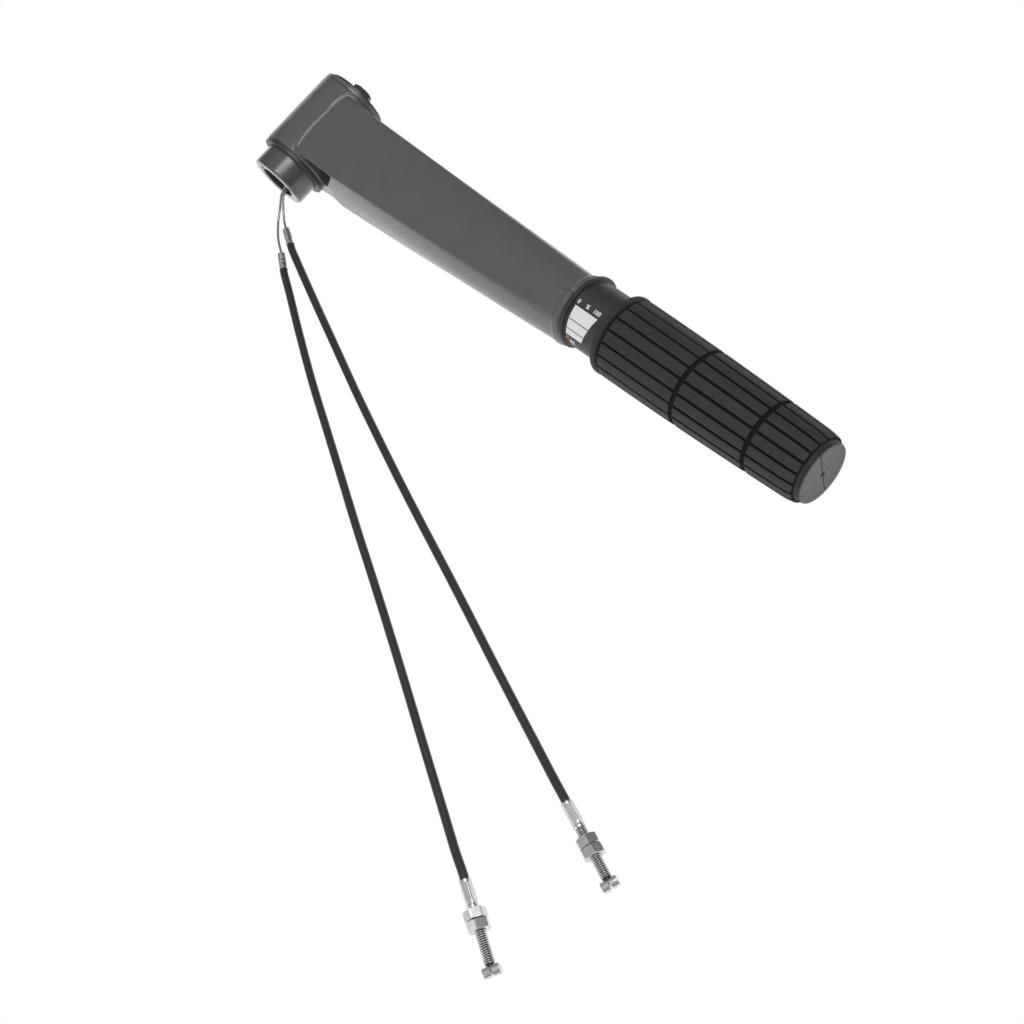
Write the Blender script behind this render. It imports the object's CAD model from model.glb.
"""Looks of a tiller handle with a twist throttle grip: paint, rubber, dial print, threads and stranded wires.

Shapes are worked out in millimetres from the tilt pivot: x along the arm to the grip, y along the pivot away
from the cables, z up from the surface that the handle lies on. HUB carries them to the frame's metres.
"""

import math

import bmesh
import bpy
from mathutils import Matrix, Vector


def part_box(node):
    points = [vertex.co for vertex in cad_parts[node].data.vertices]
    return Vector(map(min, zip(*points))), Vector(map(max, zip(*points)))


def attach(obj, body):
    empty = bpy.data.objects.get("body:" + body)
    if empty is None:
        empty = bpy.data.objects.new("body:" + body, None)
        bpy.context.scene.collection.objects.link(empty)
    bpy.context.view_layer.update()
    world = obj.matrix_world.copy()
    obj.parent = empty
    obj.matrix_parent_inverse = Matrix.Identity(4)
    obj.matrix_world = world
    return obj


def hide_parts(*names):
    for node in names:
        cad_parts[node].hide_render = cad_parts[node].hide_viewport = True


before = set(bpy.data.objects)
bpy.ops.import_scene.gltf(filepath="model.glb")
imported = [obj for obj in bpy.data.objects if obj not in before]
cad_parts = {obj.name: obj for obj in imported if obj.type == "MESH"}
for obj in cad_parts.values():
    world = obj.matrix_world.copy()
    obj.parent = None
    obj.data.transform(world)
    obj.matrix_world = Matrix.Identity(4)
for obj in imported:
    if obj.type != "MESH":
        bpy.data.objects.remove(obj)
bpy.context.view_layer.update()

MM = 0.001
TAU = math.tau

# Sizes shared with the frame, in millimetres
BARREL_R = 23.7
BARREL_NEAR = -28.2
BARREL_FAR = 25.2
GAP = 0.3
ARM_END = 240.0
DIAL_END = 267.0
SLEEVE_END = 404.0
GRIP_END = 414.0
LIP_R = 24.7

arm_low, arm_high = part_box("handle_arm")
grip_low, grip_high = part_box("rubber_grip")
ORIGIN = Vector((arm_low.x + BARREL_R * MM, (grip_low.y + grip_high.y) / 2, 0.0))
HUB_Z = BARREL_R
SHAFT_Z = (grip_low.z + grip_high.z) / 2 / MM
HUB = Matrix.Translation(ORIGIN) @ Matrix.Scale(MM, 4)


def row(point):
    """A point in millimetres from the pivot, in the row frame's metres."""
    return HUB @ Vector(point)


# Camera

CAMERA_TARGET = (278.0, -113.0, 0.0)
CAMERA_DISTANCE = 898.6
CAMERA_AZIMUTH = 78.8
CAMERA_ELEVATION = 59.5
CAMERA_ROLL = -38.2
CAMERA_LENS = 56.25


def make_camera():
    azimuth, elevation, roll = (math.radians(a) for a in (CAMERA_AZIMUTH, CAMERA_ELEVATION, CAMERA_ROLL))
    back = Vector((math.sin(azimuth) * math.cos(elevation), -math.cos(azimuth) * math.cos(elevation),
                   math.sin(elevation)))
    level = Vector((math.cos(azimuth), math.sin(azimuth), 0))
    upright = back.cross(level)
    right = math.cos(roll) * level + math.sin(roll) * upright
    up = -math.sin(roll) * level + math.cos(roll) * upright
    camera = bpy.data.objects.new("camera", bpy.data.cameras.new("camera"))
    bpy.context.scene.collection.objects.link(camera)
    place = Matrix((right, up, back)).transposed().to_4x4()
    place.translation = row(Vector(CAMERA_TARGET) + back * CAMERA_DISTANCE)
    camera.matrix_world = place
    camera.data.lens = CAMERA_LENS
    camera.data.sensor_width = 36.0
    camera.data.clip_start = 0.01
    bpy.context.scene.camera = camera


# Materials

def nodes_of(name):
    material = bpy.data.materials.new(name)
    material.use_nodes = True
    tree = material.node_tree
    return material, tree, tree.nodes["Principled BSDF"]


def noise(tree, scale, detail=3.0, stretch=(1, 1, 1)):
    """Noise in the object's own space; scale is in features per metre."""
    place = tree.nodes.new("ShaderNodeTexCoord")
    mapping = tree.nodes.new("ShaderNodeMapping")
    mapping.inputs["Scale"].default_value = stretch
    texture = tree.nodes.new("ShaderNodeTexNoise")
    texture.inputs["Scale"].default_value = scale
    texture.inputs["Detail"].default_value = detail
    tree.links.new(place.outputs["Object"], mapping.inputs["Vector"])
    tree.links.new(mapping.outputs["Vector"], texture.inputs["Vector"])
    return texture.outputs["Fac"]


def ramp(tree, source, stops):
    """Map a value to colours; stops are (position, colour)."""
    node = tree.nodes.new("ShaderNodeValToRGB")
    elements = node.color_ramp.elements
    elements[0].position, elements[0].color = stops[0][0], (*stops[0][1], 1)
    elements[1].position, elements[1].color = stops[-1][0], (*stops[-1][1], 1)
    for position, colour in stops[1:-1]:
        element = elements.new(position)
        element.color = (*colour, 1)
    tree.links.new(source, node.inputs["Fac"])
    return node.outputs["Color"]


def remap(tree, source, low, high):
    node = tree.nodes.new("ShaderNodeMapRange")
    node.inputs["To Min"].default_value = low
    node.inputs["To Max"].default_value = high
    tree.links.new(source, node.inputs["Value"])
    return node.outputs["Result"]


def bump(tree, shader, layers):
    """Stack bump layers of (height, strength, distance in metres) on the shader's normal."""
    normal = None
    for height, strength, distance in layers:
        node = tree.nodes.new("ShaderNodeBump")
        node.inputs["Strength"].default_value = strength
        node.inputs["Distance"].default_value = distance
        tree.links.new(height, node.inputs["Height"])
        if normal is not None:
            tree.links.new(normal, node.inputs["Normal"])
        normal = node.outputs["Normal"]
    tree.links.new(normal, shader.inputs["Normal"])


def shade(value):
    return (value, value, value * 1.01)


def speckled(name, base, spread, rough, rough_spread, metallic=0.0, coarse=60.0, fine=2500.0, fine_bump=0.1,
             coarse_bump=0.0, specular=0.5, tint=None, coat=0.0):
    """A surface whose colour, roughness and normal vary at a coarse and at a fine scale."""
    material, tree, shader = nodes_of(name)
    wide = noise(tree, coarse, 4.0)
    grain = noise(tree, fine, 2.0)
    low, high = base * (1 - spread), base * (1 + spread)
    colours = [(0.3, shade(low)), (0.7, shade(high))]
    if tint is not None:
        colours = [(0.3, tuple(c * (1 - spread) for c in tint)), (0.7, tuple(c * (1 + spread) for c in tint))]
    tree.links.new(ramp(tree, wide, colours), shader.inputs["Base Color"])
    tree.links.new(remap(tree, grain, rough - rough_spread, rough + rough_spread), shader.inputs["Roughness"])
    shader.inputs["Metallic"].default_value = metallic
    shader.inputs["Specular IOR Level"].default_value = specular
    shader.inputs["Coat Weight"].default_value = coat
    shader.inputs["Coat Roughness"].default_value = 0.18
    layers = [(grain, fine_bump, 0.0001)]
    if coarse_bump:
        layers.append((wide, coarse_bump, 0.0006))
    bump(tree, shader, layers)
    return material


def make_materials():
    return {
        "paint": speckled("arm_paint", 0.112, 0.05, 0.36, 0.05, metallic=0.0, coarse=90, fine=3200,
                          fine_bump=0.12, coarse_bump=0.04, coat=0.4),
        "pivot_paint": speckled("pivot_paint", 0.09, 0.06, 0.26, 0.04, metallic=0.3, coarse=120, fine=3200,
                                fine_bump=0.05, coarse_bump=0.02, coat=0.7),
        "nylon": speckled("bush_nylon", 0.05, 0.08, 0.4, 0.05, coarse=200, fine=1800),
        "bronze": speckled("washer_bronze", 0.3, 0.1, 0.35, 0.08, metallic=0.9, tint=(0.42, 0.3, 0.16)),
        "steel": speckled("bolt_steel", 0.07, 0.2, 0.33, 0.08, metallic=0.3, coarse=300, fine=2600,
                          fine_bump=0.03),
        "shaft_steel": speckled("shaft_steel", 0.45, 0.08, 0.3, 0.08, metallic=0.95, coarse=300, fine=2600,
                                fine_bump=0.03),
        "dial": speckled("dial_plastic", 0.032, 0.1, 0.4, 0.05, coarse=150, fine=2600, fine_bump=0.15),
        "rubber": speckled("grip_rubber", 0.035, 0.12, 0.62, 0.06, coarse=260, fine=1700, fine_bump=0.35,
                           coarse_bump=0.1, specular=0.35),
        "rubber_groove": speckled("grip_groove_rubber", 0.012, 0.1, 0.8, 0.05, coarse=260, fine=1700,
                                  fine_bump=0.2, specular=0.15),
        "rubber_end": speckled("grip_end_rubber", 0.14, 0.08, 0.6, 0.06, coarse=260, fine=1700,
                               fine_bump=0.25),
        "print_white": speckled("dial_print_white", 0.92, 0.02, 0.5, 0.05, coarse=400, fine=3000,
                                fine_bump=0.05),
        "print_dark": speckled("dial_print_dark", 0.12, 0.1, 0.5, 0.05, coarse=400, fine=3000,
                               fine_bump=0.05),
        "print_orange": speckled("dial_print_orange", 0.3, 0.08, 0.5, 0.05, tint=(0.42, 0.13, 0.035)),
        "conduit": speckled("conduit_black", 0.03, 0.12, 0.4, 0.07, coarse=500, fine=2200, fine_bump=0.25,
                            coarse_bump=0.05),
        "thread_root": speckled("thread_root", 0.1, 0.1, 0.4, 0.06, metallic=0.9, coarse=350, fine=2600,
                                fine_bump=0.02),
        "zinc": speckled("zinc_plate", 0.68, 0.08, 0.24, 0.06, metallic=0.9, coarse=350, fine=2600,
                         fine_bump=0.02, coarse_bump=0.02),
        "wire": speckled("wire_steel", 0.42, 0.15, 0.3, 0.08, metallic=0.85, coarse=600, fine=3000,
                         fine_bump=0.02),
    }


# Mesh helpers, all in millimetres from the pivot

def along(axis, origin=(0.0, 0.0, 0.0)):
    """Matrix that carries local +Z to axis and local +X to a level direction, at origin."""
    z = Vector(axis).normalized()
    x = Vector((0, 0, 1)).cross(z)
    x = Vector((1, 0, 0)) if x.length < 1e-6 else x.normalized()
    y = z.cross(x)
    turn = Matrix((x, y, z)).transposed().to_4x4()
    return Matrix.Translation(Vector(origin)) @ turn


SHAFT_LINE = along((1, 0, 0), (0, 0, SHAFT_Z))
PIVOT_LINE = along((0, 1, 0), (0, 0, HUB_Z))


def skin(rings, start="fan", end="fan", loop=False):
    """Mesh over a row of rings with the same number of points; loop joins the last ring to the first."""
    bm = bmesh.new()
    rows = [[bm.verts.new(point) for point in ring] for ring in rings]
    count = len(rings[0])
    pairs = list(zip(rows, rows[1:]))
    if loop:
        pairs.append((rows[-1], rows[0]))
    for near, far in pairs:
        for i in range(count):
            j = (i + 1) % count
            bm.faces.new((near[i], near[j], far[j], far[i]))
    if not loop:
        for ring, kind in ((rows[0], start), (rows[-1], end)):
            if kind == "fan":
                middle = bm.verts.new(sum((v.co for v in ring), Vector()) / count)
                for i in range(count):
                    bm.faces.new((ring[i], ring[(i + 1) % count], middle))
    bmesh.ops.recalc_face_normals(bm, faces=bm.faces)
    mesh = bpy.data.meshes.new("skin")
    bm.to_mesh(mesh)
    bm.free()
    return mesh


def soften(profile, radius, closed, steps=3):
    """Round the corners of a profile of (u, v) points."""
    points = [Vector(p) for p in profile]
    count = len(points)
    result = []
    for i, corner in enumerate(points):
        if not closed and i in (0, count - 1):
            result.append(corner)
            continue
        before = points[i - 1] - corner
        after = points[(i + 1) % count] - corner
        reach = min(radius, 0.45 * before.length, 0.45 * after.length)
        a = corner + before.normalized() * reach
        b = corner + after.normalized() * reach
        for k in range(steps + 1):
            t = k / steps
            result.append(a * (1 - t) ** 2 + corner * (2 * t * (1 - t)) + b * t ** 2)
    return result


def spun(profile, line, radius=0.3, steps=96):
    """Mesh of a turned piece: a profile of (radius, height), open from the axis or closed around a hole."""
    closed = all(r > 0 for r, _ in profile)
    if closed:
        outline = soften(profile, radius, True)
        rings = [[(p.x * math.cos(a), p.x * math.sin(a), p.y) for a in angles(steps)] for p in outline]
        mesh = skin(rings, loop=True)
    else:
        outline = soften(profile, radius, False)[1:-1]
        rings = [[(p.x * math.cos(a), p.x * math.sin(a), p.y) for a in angles(steps)] for p in outline]
        mesh = skin(rings)
    mesh.transform(line)
    return mesh


def angles(steps):
    return [TAU * i / steps for i in range(steps)]


def scratch(mesh):
    obj = bpy.data.objects.new("scratch", mesh)
    bpy.context.scene.collection.objects.link(obj)
    return obj


def evaluated(obj):
    """The mesh with its modifiers, and the object removed."""
    bpy.context.view_layer.update()
    mesh = bpy.data.meshes.new_from_object(obj.evaluated_get(bpy.context.evaluated_depsgraph_get()))
    bpy.data.objects.remove(obj)
    return mesh


def combine(mesh, changes):
    """Boolean a row of (operation, mesh) into a mesh."""
    obj = scratch(mesh)
    others = []
    for operation, other in changes:
        helper = scratch(other)
        others.append(helper)
        modifier = obj.modifiers.new("boolean", "BOOLEAN")
        modifier.operation = operation
        modifier.object = helper
        modifier.solver = "EXACT"
    result = evaluated(obj)
    for helper in others:
        bpy.data.objects.remove(helper)
    return result


def box(low, high, line=Matrix.Identity(4)):
    bm = bmesh.new()
    size = Vector(high) - Vector(low)
    place = Matrix.Translation((Vector(high) + Vector(low)) / 2) @ Matrix.Diagonal((*size, 1.0))
    bmesh.ops.create_cube(bm, size=1.0, matrix=place)
    mesh = bpy.data.meshes.new("box")
    bm.to_mesh(mesh)
    bm.free()
    mesh.transform(line)
    return mesh


def rod(radius, low, high, line, steps=96):
    return spun([(0, high), (radius, high), (radius, low), (0, low)], line, 0.01, steps)


def plate(outline, low, high, line):
    """Mesh of a flat outline of (u, v) points between two heights along a line."""
    rings = [[(u, v, low) for u, v in outline], [(u, v, high) for u, v in outline]]
    bm = bmesh.new()
    rows = [[bm.verts.new(point) for point in ring] for ring in rings]
    for i in range(len(outline)):
        j = (i + 1) % len(outline)
        bm.faces.new((rows[0][i], rows[0][j], rows[1][j], rows[1][i]))
    for ring in rows:
        bm.faces.new(ring)
    bmesh.ops.recalc_face_normals(bm, faces=bm.faces)
    mesh = bpy.data.meshes.new("plate")
    bm.to_mesh(mesh)
    bm.free()
    mesh.transform(line)
    return mesh


def piece(name, mesh, material, body, slot, *stands_for, sharp=35):
    """Add a mesh to the model: it rides on a body, takes a slot's finish and stands for CAD nodes."""
    mesh.name = name
    mesh.transform(HUB)
    mesh.materials.clear()
    mesh.materials.append(LOOKS[material])
    mesh.shade_smooth()
    if sharp:
        mesh.set_sharp_from_angle(angle=math.radians(sharp))
    obj = bpy.data.objects.new(name, mesh)
    bpy.context.scene.collection.objects.link(obj)
    return settle(obj, body, slot, *stands_for)


def settle(obj, body, slot, *stands_for):
    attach(obj, body)
    if stands_for:
        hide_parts(*stands_for)
    return obj


# Casting

def blend(x, hub, end):
    return hub + (end - hub) * x / ARM_END


def arm_section(x, wall=0.0, pad=0.0, floor=None):
    """Cross-section of the arm: crowned top, rounded top edges, leaning and bulging sides, flat foot."""
    centre = blend(x, -3.2, -2.1)
    half = blend(x, 25.0, 16.7) - wall - pad
    lean = 1.7 * min(1.0, max(0.0, (x - 23.5) / 12.5))
    foot = half + lean - 6.4 * (x / ARM_END) ** 3
    edge = blend(x, 44.5, 38.7) - wall
    top = blend(x, 45.0, 45.5) - wall
    bulge = blend(x, 0.0, 6.3)
    crown = [(half * t / 12, edge + (top - edge) * (1 - (t / 12) ** 2)) for t in range(0, 12)]
    share = [0.06, 0.12, 0.2, 0.3, 0.4, 0.5, 0.6, 0.7, 0.8, 0.9, 1.0]
    side = [(half + (foot - half) * s + bulge * math.sin(math.pi * s), edge + (3.0 - edge) * s)
            for s in share]
    corner = Vector((half, edge))
    before, after = Vector(crown[-1]), Vector(side[0])
    reach = 1.6
    a = corner + (before - corner).normalized() * min(reach, 0.8 * (before - corner).length)
    b = corner + (after - corner).normalized() * min(reach, 0.8 * (after - corner).length)
    rounding = [tuple(a * (1 - t) ** 2 + corner * (2 * t * (1 - t)) + b * t * t)
                for t in (0, 0.25, 0.5, 0.75, 1)]
    right = crown + rounding + side
    if floor is not None:
        right.append((right[-1][0], floor))
    left = [(-w, z) for w, z in reversed(right[1:])]
    return [(x, centre + w, z) for w, z in right + left]


# Where the arm's top runs out on the barrel, and how far the fillet stands up there
CREASE = ((15.5, -27.5), (12.6, -25.6), (10.6, -22.6), (9.6, -18.0), (8.4, -10.5), (8.7, -2.0), (9.0, 7.3),
          (8.3, 13.0), (9.6, 20.0), (11.2, 24.0), (15.0, 25.2))
CREASE_HEIGHT = 0.4
CREASE_WIDTH = 0.75


def to_crease(x, y):
    """Distance in plan from the line where the arm's top meets the barrel."""
    nearest = 99.0
    for (x0, y0), (x1, y1) in zip(CREASE, CREASE[1:]):
        along_it = ((x - x0) * (x1 - x0) + (y - y0) * (y1 - y0)) / ((x1 - x0) ** 2 + (y1 - y0) ** 2)
        along_it = min(1.0, max(0.0, along_it))
        nearest = min(nearest, math.hypot(x - x0 - (x1 - x0) * along_it, y - y0 - (y1 - y0) * along_it))
    return nearest


def raise_beads(mesh):
    """Stand up the fillet bead across the barrel and the rim of the ring at the grip end."""
    moved = []
    for vertex in mesh.vertices:
        x, y, z = vertex.co
        lift = 0.0
        if z > 38.0 and 3.0 < x < 20.0:
            lift = CREASE_HEIGHT * math.exp(-(to_crease(x, y) / CREASE_WIDTH) ** 2)
        elif 234.0 < x < 238.5 and math.hypot(y + 1.3, z - SHAFT_Z) > 20.4:
            lift = 0.7 * math.exp(-((x - 236.6) / 0.6) ** 2)
        if lift > 0.01:
            moved.append((vertex.index, vertex.co + vertex.normal * lift))
    for index, place in moved:
        mesh.vertices[index].co = place


def handle_arm():
    stations = [0, 12, 23.5, 27, 31, 36] + [36 + 6 * i for i in range(1, 34)] + [238.5]
    body = skin([arm_section(x) for x in stations])
    end_x = ARM_END - 0.8
    ring_line = along((1, 0, 0), (0, -1.3, SHAFT_Z))
    ring = spun([(0, ARM_END), (21.2 - 0.9, ARM_END), (21.2, end_x), (21.2, ARM_END - 4), (0, ARM_END - 4)],
                ring_line, 0.2)
    barrel = spun([(0, BARREL_FAR), (BARREL_R, BARREL_FAR), (BARREL_R, BARREL_NEAR), (0, BARREL_NEAR)],
                  PIVOT_LINE, 0.6, 160)
    inside = [38.0, 50.0, 62.0, 80.0, 100.0, 120.0, 140.0, 160.0, 180.0, 200.0, 212.0, 224.0]
    channel = skin([arm_section(x, 3.0, 5.0 * max(0.0, 1 - (x - 38.0) / 24.0), floor=-2.0) for x in inside])
    bore = rod(21.0, BARREL_NEAR - 1, BARREL_FAR + 1, PIVOT_LINE, 128)
    rear_hole = rod(9.3, 0, 42, SHAFT_LINE, 64)
    front_hole = rod(14.3, 222, 241, SHAFT_LINE, 64)
    seat = rod(17.7, ARM_END - 1.5, ARM_END + 1, SHAFT_LINE, 64)
    level = Matrix.Rotation(math.radians(90), 4, "X")
    rim = BARREL_R + 0.9
    arc = [math.radians(a) for a in range(54, -6, -4)]
    outline = [(rim * math.cos(a), HUB_Z + rim * math.sin(a)) for a in arc]
    outline += [(26.0, 21.0), (34.0, 25.0), (46.0, 42.0), (30.0, 43.0), (18.5, 43.4)]
    near_pocket = plate(outline, 21.0, 32.0, level)
    far_pocket = plate(outline, -26.0, -15.0, level)
    pointer = skin([[(x, y0 - w, 44.0), (x, y0 + w, 44.0), (x, y0 + w * 0.5, z), (x, y0 - w * 0.5, z)]
                    for x, y0, w, z in ((227.5, -4.8, 0.3, 44.9), (230.0, -4.2, 0.9, 46.3),
                                        (236.0, -2.8, 1.2, 46.8), (239.6, -2.2, 1.2, 46.8))])
    mesh = combine(body, [("UNION", ring), ("UNION", barrel), ("UNION", pointer), ("DIFFERENCE", channel),
                          ("DIFFERENCE", bore), ("DIFFERENCE", rear_hole), ("DIFFERENCE", front_hole),
                          ("DIFFERENCE", seat), ("DIFFERENCE", near_pocket), ("DIFFERENCE", far_pocket)])
    obj = scratch(mesh)
    remesh = obj.modifiers.new("remesh", "REMESH")
    remesh.mode = "VOXEL"
    remesh.voxel_size = 0.5
    smooth = obj.modifiers.new("smooth", "SMOOTH")
    smooth.factor = 0.5
    smooth.iterations = 4
    cast = evaluated(obj)
    raise_beads(cast)
    obj = scratch(cast)
    settle_beads = obj.modifiers.new("settle", "SMOOTH")
    settle_beads.factor = 0.5
    settle_beads.iterations = 3
    thin = obj.modifiers.new("thin", "DECIMATE")
    thin.ratio = 0.3
    piece("arm_casting", evaluated(obj), "paint", "handle", "grey_paint", "handle_arm", sharp=0)


# Tilt pivot

def pivot():
    tube = spun([(4.3, 27.7), (18.0, 27.7), (19.05, 26.7), (19.05, -44.2), (18.05, -45.2), (12.5, -45.2),
                 (12.0, -44.7), (12.0, 17.7), (4.3, 17.7)], PIVOT_LINE, 0.35, 128)
    level = Matrix.Translation((0, 0, HUB_Z)) @ Matrix.Rotation(math.radians(90), 4, "X")
    sweep = [math.radians(a) for a in range(-35, 126, 5)]
    outline = [(21 * math.cos(a), 21 * math.sin(a)) for a in sweep]
    outline += [(10.5 * math.cos(a), 10.5 * math.sin(a)) for a in reversed(sweep)]
    window = plate(outline, -7.5, 7.5, level)
    key = box((-9.5, -46.2, HUB_Z + 6), (-6.5, -40.2, HUB_Z + 12.5))
    piece("pivot_tube_body", combine(tube, [("DIFFERENCE", window), ("DIFFERENCE", key)]), "pivot_paint",
          "pivot", "pivot_paint", "pivot_tube")
    for name, face, inward, rim, look in (("near", BARREL_NEAR, 1, 23.2, "nylon"),
                                          ("far", BARREL_FAR, -1, 23.5, "paint")):
        line = along((0, inward, 0), (0, 0, HUB_Z))
        start = (face - inward * GAP) * inward
        profile = [(19.35, start + 18), (20.7, start + 18), (20.7, start + 0.2), (rim, start + 0.2),
                   (rim, start - 2.5), (19.35, start - 2.5)]
        piece(name + "_bush_body", spun(profile, line, 0.2, 128), look, "handle", "nylon",
              name + "_pivot_bush")
    washer = spun([(4.3, 30.0), (21.0, 30.0), (21.0, 28.3), (4.3, 28.3)], PIVOT_LINE, 0.3, 96)
    piece("pivot_washer_disc", washer, "steel", "pivot", "steel", "pivot_washer")
    head = hexagon_head(13.0, 30.3, 36.3, PIVOT_LINE)
    shank = rod(4.0, 18.4, 31.0, PIVOT_LINE, 48)
    piece("pivot_bolt_body", combine(head, [("UNION", shank)]), "steel", "pivot", "steel", "pivot_bolt")


def hexagon_radius(flats, angle):
    """Distance from the middle to a hexagon's rim, its corners rounded a little."""
    offset = (angle + math.pi / 6) % (math.pi / 3) - math.pi / 6
    rim = flats / 2 / math.cos(offset - math.copysign(math.pi / 6, offset))
    return min(rim, flats / math.sqrt(3) * 0.985)


def hexagon_head(flats, low, high, line, bore=None, turn=0.0, both=True, steps=96):
    """A hexagon with its corners chamfered by a cone at 30 degrees, and a hole through it for a nut."""
    top_r = flats / 2 * 0.96
    slope = math.tan(math.radians(30))
    turns = angles(steps)
    rims = [hexagon_radius(flats, a - turn) for a in turns]

    def ring(radii, heights):
        return [(r * math.cos(a), r * math.sin(a), z) for r, z, a in zip(radii, heights, turns)]

    drops = [max(0.05, (r - top_r) * slope) for r in rims]
    rings = [ring([top_r] * steps, [high] * steps), ring(rims, [high - d for d in drops])]
    if both:
        rings += [ring(rims, [low + d for d in drops]), ring([top_r] * steps, [low] * steps)]
    else:
        rings.append(ring(rims, [low] * steps))
    if bore:
        rings += [ring([bore + 0.3] * steps, [low] * steps), ring([bore] * steps, [low + 0.3] * steps),
                  ring([bore] * steps, [high - 0.3] * steps), ring([bore + 0.3] * steps, [high] * steps)]
        mesh = skin(rings, loop=True)
    else:
        mesh = skin(rings)
    mesh.transform(line)
    return mesh


# Dial and what is printed on it

DIAL_R = 20.3


def dial():
    profile = [(5.3, 404.0), (14.0, 404.0), (14.0, DIAL_END), (DIAL_R, DIAL_END), (DIAL_R, 242.8),
               (22.5, 242.8), (22.5, 240.3), (6.3, 240.3), (6.3, 395.3), (2.3, 395.3), (2.3, 396.7),
               (5.3, 396.7)]
    body = spun(profile, SHAFT_LINE, 0.45, 128)
    piece("dial_body", body, "dial", "throttle", "black_plastic", "dial_collar")


def wrapped(mesh, x, angle, radius, height):
    """Bend a flat mesh (u along the arm, v towards the top) round the dial; angle is from the top to -y."""
    for vertex in mesh.vertices:
        u, v, w = vertex.co
        a = math.radians(angle) - v / radius
        r = radius + height + w
        vertex.co = (x + u, -r * math.sin(a), SHAFT_Z + r * math.cos(a))
    return mesh


def patch(outline, rows=24, thick=0.06):
    """Thin flat patch between two edges of (u at the start, u at the end, v), ready to be wrapped."""
    (u0, u1, v0), (u2, u3, v1) = outline
    bm = bmesh.new()
    grid = []
    columns = 12
    for i in range(rows + 1):
        t = i / rows
        start, end, v = u0 + (u2 - u0) * t, u1 + (u3 - u1) * t, v0 + (v1 - v0) * t
        grid.append([bm.verts.new((start + (end - start) * j / columns, v, thick))
                     for j in range(columns + 1)])
    for near, far in zip(grid, grid[1:]):
        for j in range(columns):
            bm.faces.new((near[j], near[j + 1], far[j + 1], far[j]))
    bmesh.ops.recalc_face_normals(bm, faces=bm.faces)
    faces = bmesh.ops.extrude_face_region(bm, geom=bm.faces[:])
    moved = [v for v in faces["geom"] if isinstance(v, bmesh.types.BMVert)]
    bmesh.ops.translate(bm, verts=moved, vec=(0, 0, -thick))
    bmesh.ops.recalc_face_normals(bm, faces=bm.faces)
    mesh = bpy.data.meshes.new("patch")
    bm.to_mesh(mesh)
    bm.free()
    return mesh


def lettering(text, size):
    curve = bpy.data.curves.new("lettering", "FONT")
    curve.body = text
    curve.size = size
    curve.extrude = 0.03
    curve.offset = 0.09
    curve.align_x = "CENTER"
    curve.align_y = "CENTER"
    obj = bpy.data.objects.new("lettering", curve)
    bpy.context.scene.collection.objects.link(obj)
    return evaluated(obj)


def dial_print():
    height = 0.03
    over = height + 0.07
    start = 244.8
    middle = 42.0
    reach = math.radians(26.0) * DIAL_R
    panel = patch(((0.0, 12.2, -reach), (0.0, 17.2, reach)))
    piece("dial_panel", wrapped(panel, start, middle, DIAL_R, height), "print_white", "throttle",
          "black_plastic")
    for i, (angle, end) in enumerate(((39.0, 15.3), (55.5, 13.6))):
        line = patch(((0.0, end, -0.25), (0.0, end, 0.25)), rows=2)
        piece(f"dial_line_{i}", wrapped(line, start, angle, DIAL_R, over), "print_dark", "throttle",
              "black_plastic")
    for i, (text, x) in enumerate((("0", 245.4), ("%", 252.2), ("100", 259.2))):
        figure = wrapped(lettering(text, 3.6), x, 8.5, DIAL_R, height)
        piece(f"dial_figure_{i}", figure, "print_white", "throttle", "black_plastic", sharp=0)
    bar = patch(((0.0, 3.4, -1.7), (1.4, 3.4, 1.7)), rows=8)
    piece("dial_mark_orange", wrapped(bar, 243.6, 75.5, DIAL_R, height), "print_orange", "throttle",
          "black_plastic")
    block = patch(((0.0, 3.6, -1.5), (0.0, 3.6, 1.3)), rows=8)
    piece("dial_mark_white", wrapped(block, 247.8, 80.0, DIAL_R, height), "print_white", "throttle",
          "black_plastic")
    for i, (u, angle) in enumerate(((248.5, 78.5), (249.6, 81.0))):
        stroke = patch(((0.0, 1.9, -0.28), (0.0, 1.9, 0.28)), rows=2)
        piece(f"dial_mark_stroke_{i}", wrapped(stroke, u, angle, DIAL_R, over), "print_dark", "throttle",
              "black_plastic")


# Rubber grip

RIDGES = 19
FIRST_GROOVE = -0.8               # degrees from the top towards -y
GROOVE_DEPTH = 1.35
SECTIONS = ((272.9, 327.1), (328.9, 377.2), (379.0, 410.4))


def step(edge0, edge1, value):
    t = min(1.0, max(0.0, (value - edge0) / (edge1 - edge0)))
    return t * t * (3 - 2 * t)


def grip_radius(x):
    share = min(1.0, max(0.0, (x - 271.2) / (408.0 - 271.2)))
    shoulder = max(0.0, (x - 402.0) / 8.4)
    return 24.4 - 3.4 * share ** 1.7 - 1.0 * shoulder ** 2.4


# Where a ring has its points across one rib, close together in the groove at its two edges
GROOVE_SAMPLES = (0.0, 0.03, 0.05, 0.065, 0.08, 0.1, 0.125, 0.16, 0.25, 0.38, 0.5, 0.62, 0.75, 0.84, 0.875,
                  0.9, 0.92, 0.935, 0.95, 0.97)


def grip_ring(x, radius, grooved):
    pitch = TAU / RIDGES
    ring = []
    for i in range(RIDGES):
        for share in GROOVE_SAMPLES:
            angle = math.radians(FIRST_GROOVE) + (i + share) * pitch
            distance = min(share, 1 - share) * pitch * radius
            groove = 1 - step(0.3, 0.95, distance)
            r = radius - grooved * GROOVE_DEPTH * groove
            ring.append((x, -r * math.sin(angle), SHAFT_Z + r * math.cos(angle)))
    return ring


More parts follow.
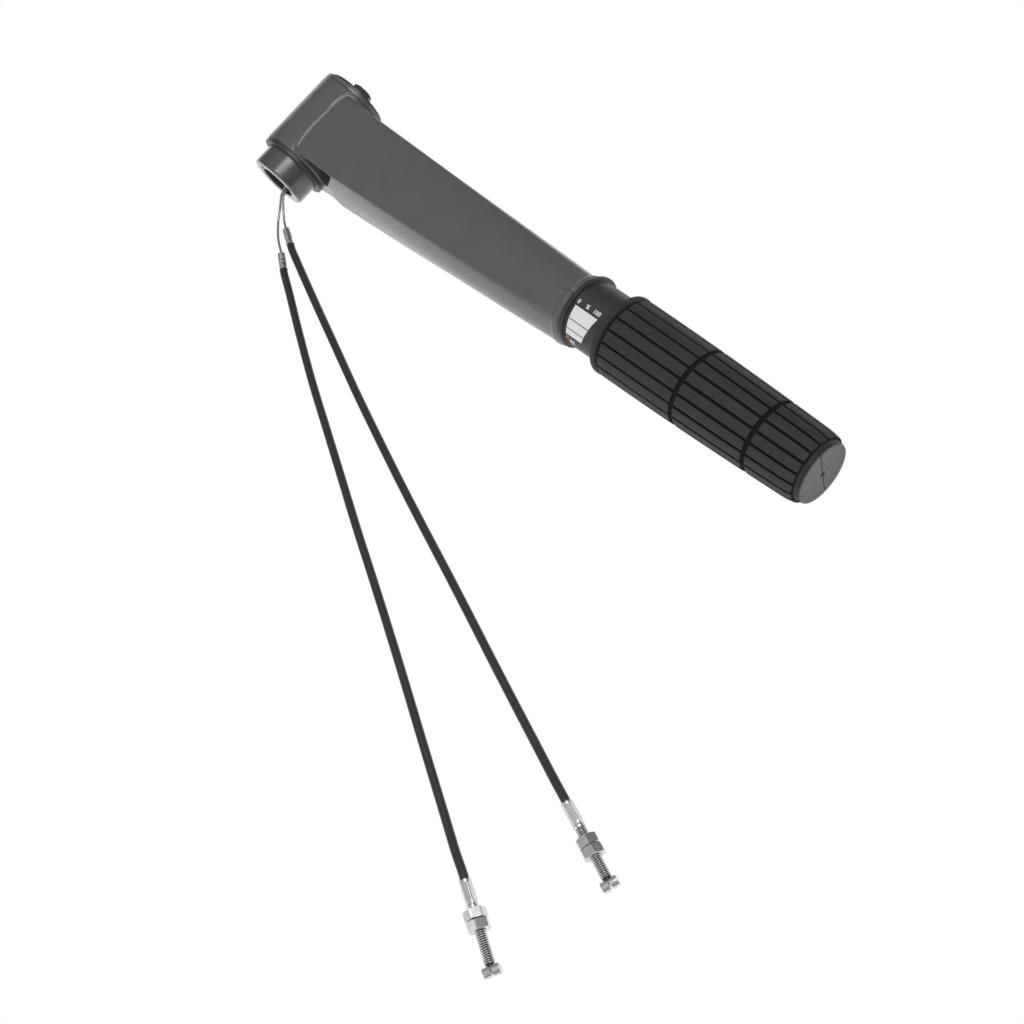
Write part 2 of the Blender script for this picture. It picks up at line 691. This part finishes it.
def rubber_grip():
    start = DIAL_END + GAP
    plain = [(404.2, 0.01), (404.3, 14.3), (300.0, 14.3), (start + 0.1, 14.3), (start, 15.0), (start, 23.2),
             (start + 0.15, 23.9), (start + 0.6, 24.45), (start + 1.3, LIP_R), (start + 2.6, LIP_R),
             (start + 3.4, 24.5), (start + 3.9, 24.1), (start + 4.2, 23.3), (start + 4.4, 22.9),
             (start + 5.0, 22.9)]
    rings = [grip_ring(x, r, 0.0) for x, r in plain]
    for low, high in SECTIONS:
        last = high == SECTIONS[-1][1]
        span = high - low
        edge = [0.0, 0.12, 0.3, 0.55, 0.9, 1.4]
        places = [low + e for e in edge]
        middle = max(4, round(span / 3.0))
        places += [low + 1.4 + (span - 2.8) * i / middle for i in range(1, middle)]
        places += [high - e for e in reversed(edge)]
        for x in places:
            rise = min(step(-0.25, 0.9, x - low), step(-0.25, 0.9, high - x))
            sunk = grip_radius(x) - GROOVE_DEPTH
            top = sunk + GROOVE_DEPTH * rise
            rings.append(blend_ring(x, sunk, top))
        if not last:
            gap_r = grip_radius(high) - GROOVE_DEPTH
            rings.append(grip_ring(high + 0.2, gap_r, 0.0))
            rings.append(grip_ring(high + 1.6, gap_r, 0.0))
    rings += [grip_ring(x, r, 0.0) for x, r in ((410.6, 18.35), (411.0, 18.0), (412.4, 18.0), (412.7, 18.25),
                                                (413.3, 18.3), (413.8, 18.05), (414.0, 17.5), (414.0, 15.5),
                                                (413.9, 15.2), (413.9, 6.0), (413.9, 1.0))]
    mesh = skin(rings)
    slit_line = along((1, 0, 0), (GRIP_END, 0, SHAFT_Z)) @ Matrix.Rotation(math.radians(82.3), 4, "Z")
    slit = box((-15.6, -0.25, -1.6), (18.6, 0.25, 1.0), slit_line)
    dot = rod(1.1, -1.6, 1.0, slit_line, 24)
    star = box((-2.0, -0.45, -1.6), (2.0, 0.45, 1.0), slit_line @ Matrix.Rotation(math.radians(70), 4, "Z"))
    mesh = combine(mesh, [("DIFFERENCE", slit), ("DIFFERENCE", dot), ("DIFFERENCE", star)])
    grip = piece("ribbed_grip", mesh, "rubber", "throttle", "rubber", "rubber_grip", sharp=50)
    grip.data.materials.append(LOOKS["rubber_end"])
    grip.data.materials.append(LOOKS["rubber_groove"])
    back = HUB.inverted()
    for polygon in grip.data.polygons:
        x, y, z = back @ polygon.center
        if x > 413.6 and polygon.normal.x > 0.9:
            polygon.material_index = 1
        elif 271.8 < x < 410.5 and 16.0 < math.hypot(y, z - SHAFT_Z) < grip_radius(x) - 0.45:
            polygon.material_index = 2


def blend_ring(x, sunk, top):
    """A ring that stands at top between the grooves and at sunk inside them."""
    pitch = TAU / RIDGES
    ring = []
    for i in range(RIDGES):
        for share in GROOVE_SAMPLES:
            angle = math.radians(FIRST_GROOVE) + (i + share) * pitch
            groove = 1 - step(0.3, 0.95, min(share, 1 - share) * pitch * top)
            r = top + (sunk - top) * groove
            ring.append((x, -r * math.sin(angle), SHAFT_Z + r * math.cos(angle)))
    return ring


# Shaft and inner pieces, seen from below and through the pivot

def inner_pieces():
    for node, look in (("throttle_shaft", "shaft_steel"), ("cable_drum", "zinc"), ("drum_pin", "shaft_steel"),
                       ("shaft_clip", "shaft_steel"), ("grip_screw", "shaft_steel"),
                       ("rear_shaft_bush", "nylon"), ("front_shaft_bush", "nylon"), ("thrust_washer", "bronze")):
        for material_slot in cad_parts[node].material_slots:
            material_slot.material = LOOKS[look]


# Cables

ADJUSTER_LENGTH = 44.6
THREAD_PITCH = 1.15


def smooth_route(points, spacing):
    """Even points along a smooth curve through the given ones."""
    ends = [points[0] * 2 - points[1], *points, points[-1] * 2 - points[-2]]
    fine = []
    for a, b, c, d in zip(ends, ends[1:], ends[2:], ends[3:]):
        for i in range(24):
            t = i / 24
            fine.append(0.5 * (2 * b + (c - a) * t + (2 * a - 5 * b + 4 * c - d) * t ** 2
                               + (3 * b - a - 3 * c + d) * t ** 3))
    fine.append(points[-1])
    lengths = [0.0]
    for a, b in zip(fine, fine[1:]):
        lengths.append(lengths[-1] + (b - a).length)
    count = max(2, round(lengths[-1] / spacing))
    route = []
    place = 0
    for i in range(count + 1):
        target = lengths[-1] * i / count
        while place < len(fine) - 2 and lengths[place + 1] < target:
            place += 1
        span = lengths[place + 1] - lengths[place]
        route.append(fine[place].lerp(fine[place + 1], (target - lengths[place]) / span))
    return route


# The route points of part.py, in metres from the pivot
WIRE_WRAP_R = 0.008
CABLES = {
    "closing": {
        "groove": -0.0029,
        "side": -1,
        "wire": [(-0.0029, -0.011, 0.0165), (-0.0016, -0.022, 0.0152), (0.0008, -0.0452, 0.0131),
                 (0.001, -0.049, 0.0107), (0.003, -0.0536, 0.0062), (0.0075, -0.0584, 0.0038)],
        "ferrule": ((0.0135, -0.0623, 0.0031), (0.0254, -0.0687, 0.0031)),
        "conduit": [(0.046, -0.0777, 0.0026), (0.074, -0.0889, 0.0026), (0.11, -0.103, 0.0026),
                    (0.1445, -0.1165, 0.0026), (0.1785, -0.1291, 0.0026), (0.2115, -0.141, 0.0026),
                    (0.243, -0.1519, 0.0026), (0.274, -0.1624, 0.0026), (0.303, -0.1724, 0.0026),
                    (0.3315, -0.1824, 0.0026), (0.359, -0.1919, 0.0026), (0.386, -0.201, 0.0034),
                    (0.404, -0.2069, 0.0052)],
        "adjuster": ((0.4198, -0.2119), (0.9492, -0.3147)),
        "nuts": (("closing_inner_nut", "closing_inner_locknut", 20.9, -11.0),
                 ("closing_outer_nut", "closing_outer_locknut", 26.7, -14.0)),
    },
    "opening": {
        "groove": 0.0029,
        "side": 1,
        "wire": [(0.0029, -0.011, 0.0314), (0.0014, -0.022, 0.026), (-0.0013, -0.0452, 0.0133),
                 (-0.0012, -0.049, 0.0109), (0.0006, -0.0545, 0.0064), (0.0056, -0.0625, 0.0036),
                 (0.014, -0.0702, 0.0031)],
        "ferrule": ((0.0248, -0.077, 0.0031), (0.0355, -0.0842, 0.0031)),
        "conduit": [(0.052, -0.0938, 0.0026), (0.079, -0.1092, 0.0026), (0.113, -0.1278, 0.0026),
                    (0.1465, -0.1449, 0.0026), (0.1785, -0.1612, 0.0026), (0.209, -0.1768, 0.0026),
                    (0.2395, -0.1919, 0.0026), (0.2685, -0.2064, 0.0026), (0.296, -0.2204, 0.0026),
                    (0.323, -0.2344, 0.0026), (0.349, -0.2478, 0.0026), (0.374, -0.2604, 0.0034),
                    (0.391, -0.2686, 0.0052)],
        "adjuster": ((0.4062, -0.27555), (0.8888, -0.4583)),
        "nuts": (("opening_inner_nut", "handle", 15.9, 8.0),
                 ("opening_outer_nut", "opening_outer_locknut", 21.7, -6.0)),
    },
}
ADJUSTER_Z = 0.0064


def in_mm(points):
    return [Vector(point) / MM for point in points]


def stranded(route, radius, strands=7, lay=9.0, sides=28):
    """A wire rope: a lobed section that twists along its route, one turn in each lay length."""
    rings = []
    travelled = 0.0
    side = Vector((0, 0, 1))
    for i, point in enumerate(route):
        ahead = route[min(i + 1, len(route) - 1)] - route[max(i - 1, 0)]
        tangent = ahead.normalized()
        side = (side - tangent * side.dot(tangent)).normalized()
        other = tangent.cross(side)
        if i:
            travelled += (point - route[i - 1]).length
        twist = TAU * travelled / lay
        ring = []
        for a in angles(sides):
            lobe = abs(math.sin(strands * (a + twist) / 2))
            r = radius * (0.82 + 0.18 * lobe)
            ring.append(point + side * (r * math.cos(a)) + other * (r * math.sin(a)))
        rings.append(ring)
    return skin(rings)


def thread_mesh(low, high, major, pitch, bore, line, steps=40):
    """An outside thread: the radius follows the helix, and fades to the root at both ends."""
    depth = 0.6 * pitch
    count = int((high - low) / pitch * 8)
    rings = []
    for i in range(count + 1):
        z = low + (high - low) * i / count
        fade = min(1.0, (high - z) / 0.8 + 0.15)
        ring = []
        for a in angles(steps):
            phase = (z / pitch - a / TAU) % 1.0
            tooth = abs(2 * phase - 1)
            r = major - depth * (1 - min(1.0, tooth * 1.25)) - (1 - fade) * depth
            ring.append((r * math.cos(a), r * math.sin(a), z))
        rings.append(ring)
    flat = [[(r * math.cos(a), r * math.sin(a), z) for a in angles(steps)]
            for r, z in ((bore + 0.25, high + 0.02), (bore, high - 0.3), (bore, low + 0.5))]
    mesh = skin(rings + flat, start="fan", end="fan")
    mesh.transform(line)
    return mesh


def crimped_ferrule(length, radius, line, dimple_turn):
    """A drawn ferrule with a rolled mouth and two punched crimps."""
    profile = [(0.0, 0.0), (radius * 0.72, 0.0), (radius * 0.93, 0.5), (radius, 1.0), (radius, length - 0.8),
               (radius * 1.04, length - 0.5), (radius * 1.04, length - 0.1), (radius * 0.95, length),
               (0.0, length)]
    outline = soften([(r, z) for r, z in profile], 0.3, False)[1:-1]
    dense = []
    for a, b in zip(outline, outline[1:]):
        parts = max(1, round((b - a).length / 0.5))
        dense += [a.lerp(b, i / parts) for i in range(parts)]
    dense.append(outline[-1])
    rings = []
    for p in dense:
        ring = []
        for a in angles(48):
            r = p.x
            for centre in (length * 0.45, length * 0.68):
                along_it = (p.y - centre) / 1.3
                for turn in (dimple_turn, dimple_turn + math.pi):
                    around = ((a - turn + math.pi) % TAU - math.pi) / 0.6
                    r -= 0.45 * math.exp(-along_it ** 2 * 1.5 - around ** 2 * 1.5)
            ring.append((r * math.cos(a), r * math.sin(a), p.y))
        rings.append(ring)
    mesh = skin(rings)
    mesh.transform(line)
    return mesh


def adjuster_sleeve(line):
    """The crimped sleeve: a tube pressed to six flats along most of its length, then a shoulder."""
    rings = []
    flats = 6.0
    for z in [0.0, 0.15, 0.5, 1.0] + [1.0 + 0.6 * i for i in range(1, 21)] + [13.6, 14.2, 14.8, 15.2, 15.4]:
        press = step(0.6, 2.2, z) * (1 - step(11.5, 14.0, z))
        mouth = 3.05 if z < 0.1 else 3.25
        base = mouth - 0.3 * step(14.2, 15.4, z) - 0.35 * math.exp(-((z - 12.9) / 0.9) ** 2)
        ring = []
        for a in angles(60):
            r = base + (min(hexagon_radius(flats, a), 3.35) - base) * press
            ring.append((r * math.cos(a), r * math.sin(a), z))
        rings.append(ring)
    mesh = skin(rings)
    mesh.transform(line)
    return mesh


def nipple_mesh(middle, line):
    across = line @ Matrix.Translation((0, 0, middle)) @ Matrix.Rotation(math.radians(90), 4, "Y")
    barrel = spun([(0, 4.6), (3.0, 4.6), (3.0, -4.6), (0, -4.6)], across, 0.35, 64)
    slot = box((-0.55, -4.0, middle - 0.5), (0.55, 4.0, middle + 4.0), line)
    hole = rod(1.15, middle - 4.0, middle + 1.0, line, 32)
    pool = spun([(0, 0.6), (1.0, 0.45), (1.35, 0.0), (1.35, -1.0), (0, -1.0)],
                line @ Matrix.Translation((0, 0, middle - 0.6)), 0.2, 32)
    return combine(barrel, [("DIFFERENCE", slot), ("DIFFERENCE", hole), ("UNION", pool)])


def cable(name, plan):
    wrap = [math.radians(a) for a in (0, 30, 60, 90)]
    route = [Vector((plan["groove"], WIRE_WRAP_R * math.cos(a),
                     SHAFT_Z * MM + plan["side"] * WIRE_WRAP_R * math.sin(a))) / MM for a in wrap]
    start, end = in_mm(plan["ferrule"])
    direction = (end - start).normalized()
    route += in_mm(plan["wire"]) + [start - direction * 2, start - direction * GAP]
    fine = smooth_route(route, 0.45)
    wire = piece(name + "_wire_rope", stranded(fine, 0.8), "wire", "handle", "zinc_plate", name + "_wire",
                 sharp=0)
    length = (end - start).length
    ferrule = piece(name + "_end_ferrule", crimped_ferrule(length, 2.6, along(direction, start), 0.9), "zinc",
                    "handle", "zinc_plate", name + "_ferrule", sharp=50)

    (far_x, far_y), heading = plan["adjuster"]
    far = Vector((far_x, far_y, ADJUSTER_Z)) / MM
    heading = Vector((*heading, 0)).normalized()
    path = [end + direction * GAP, end + direction * 4] + in_mm(plan["conduit"])
    path += [far - heading * 5, far - heading * GAP]
    conduit_route = smooth_route(path, 3.0)
    curve = bpy.data.curves.new(name + "_sheath", "CURVE")
    curve.dimensions = "3D"
    curve.bevel_depth = 2.5 * MM
    curve.bevel_resolution = 8
    curve.use_fill_caps = True
    spline = curve.splines.new("POLY")
    spline.points.add(len(conduit_route) - 1)
    for point, position in zip(spline.points, conduit_route):
        point.co = (*row(position), 1.0)
    curve.materials.append(LOOKS["conduit"])
    sheath = bpy.data.objects.new(name + "_sheath", curve)
    bpy.context.scene.collection.objects.link(sheath)
    settle(sheath, "handle", "conduit", name + "_conduit")

    line = along(heading, far)
    sleeve = piece(name + "_adjuster_sleeve", adjuster_sleeve(line), "zinc", "handle", "zinc_plate",
                   name + "_adjuster", sharp=40)
    thread = thread_mesh(15.0, ADJUSTER_LENGTH, 3.0, THREAD_PITCH, 1.3, line)
    screw = piece(name + "_adjuster_thread", thread, "zinc", "handle",
                  "zinc_plate", sharp=0)
    screw.data.materials.append(LOOKS["thread_root"])
    to_line = (HUB @ line).inverted()
    for polygon in screw.data.polygons:
        x, y, z = to_line @ polygon.center
        if math.hypot(x, y) < 2.62:
            polygon.material_index = 1
    for node, body, low, turn in plan["nuts"]:
        mesh = hexagon_head(11.0, low, low + 5.5, line, bore=3.1, turn=math.radians(30.0 + turn))
        piece(node + "_body", mesh, "zinc", body, "zinc_plate", node, sharp=28)
    middle = ADJUSTER_LENGTH + 0.3 + 3.0
    end_body = name + "_end"
    piece(name + "_nipple_body", nipple_mesh(middle, line), "zinc", end_body, "zinc_plate",
                         name + "_nipple", sharp=40)
    tail = [line @ Vector((0, 0, middle - 31.3 + 0.45 * i)) for i in range(67)]
    piece(name + "_wire_tail", stranded(tail, 0.8), "wire", end_body, "zinc_plate",
                         name + "_wire_end", sharp=0)


# Room and light

def make_stage():
    bpy.ops.mesh.primitive_plane_add(size=6.0)
    floor = bpy.context.object
    floor.name = "floor"
    material, tree, shader = nodes_of("floor_white")
    shader.inputs["Base Color"].default_value = (0, 0, 0, 1)
    shader.inputs["Specular IOR Level"].default_value = 0.0
    shader.inputs["Emission Color"].default_value = (1, 1, 1, 1)
    shader.inputs["Emission Strength"].default_value = 1.0
    floor.data.materials.append(material)

    world = bpy.data.worlds.new("studio")
    bpy.context.scene.world = world
    world.use_nodes = True
    tree = world.node_tree
    background = tree.nodes["Background"]
    place = tree.nodes.new("ShaderNodeTexCoord")
    split = tree.nodes.new("ShaderNodeSeparateXYZ")
    tree.links.new(place.outputs["Generated"], split.inputs["Vector"])
    sky = ramp(tree, split.outputs["Z"], [(0.0, (0.1, 0.1, 0.1)), (0.25, (0.14, 0.14, 0.14)),
                                          (0.75, (0.45, 0.45, 0.45)), (1.0, (0.6, 0.6, 0.6))])
    tree.links.new(sky, background.inputs["Color"])
    background.inputs["Strength"].default_value = 1.0

    def softbox(name, position, target, size, power):
        light = bpy.data.lights.new(name, "AREA")
        light.shape = "RECTANGLE"
        light.size, light.size_y = size
        light.energy = power
        obj = bpy.data.objects.new(name, light)
        bpy.context.scene.collection.objects.link(obj)
        place = along(Vector(position) - Vector(target), position)
        obj.matrix_world = place

    softbox("near_softbox", (0.0, -1.4, 0.5), (0, 0, 0.02), (1.8, 0.9), 5.5)
    softbox("top_softbox", (0.35, 0.24, 1.4), (-0.2, 0, 0.02), (0.5, 0.9), 6)


make_camera()
LOOKS = make_materials()
for cable_name, cable_plan in CABLES.items():
    cable(cable_name, cable_plan)
handle_arm()
pivot()
dial()
dial_print()
rubber_grip()
inner_pieces()
make_stage()
bpy.context.scene.view_settings.view_transform = "Standard"
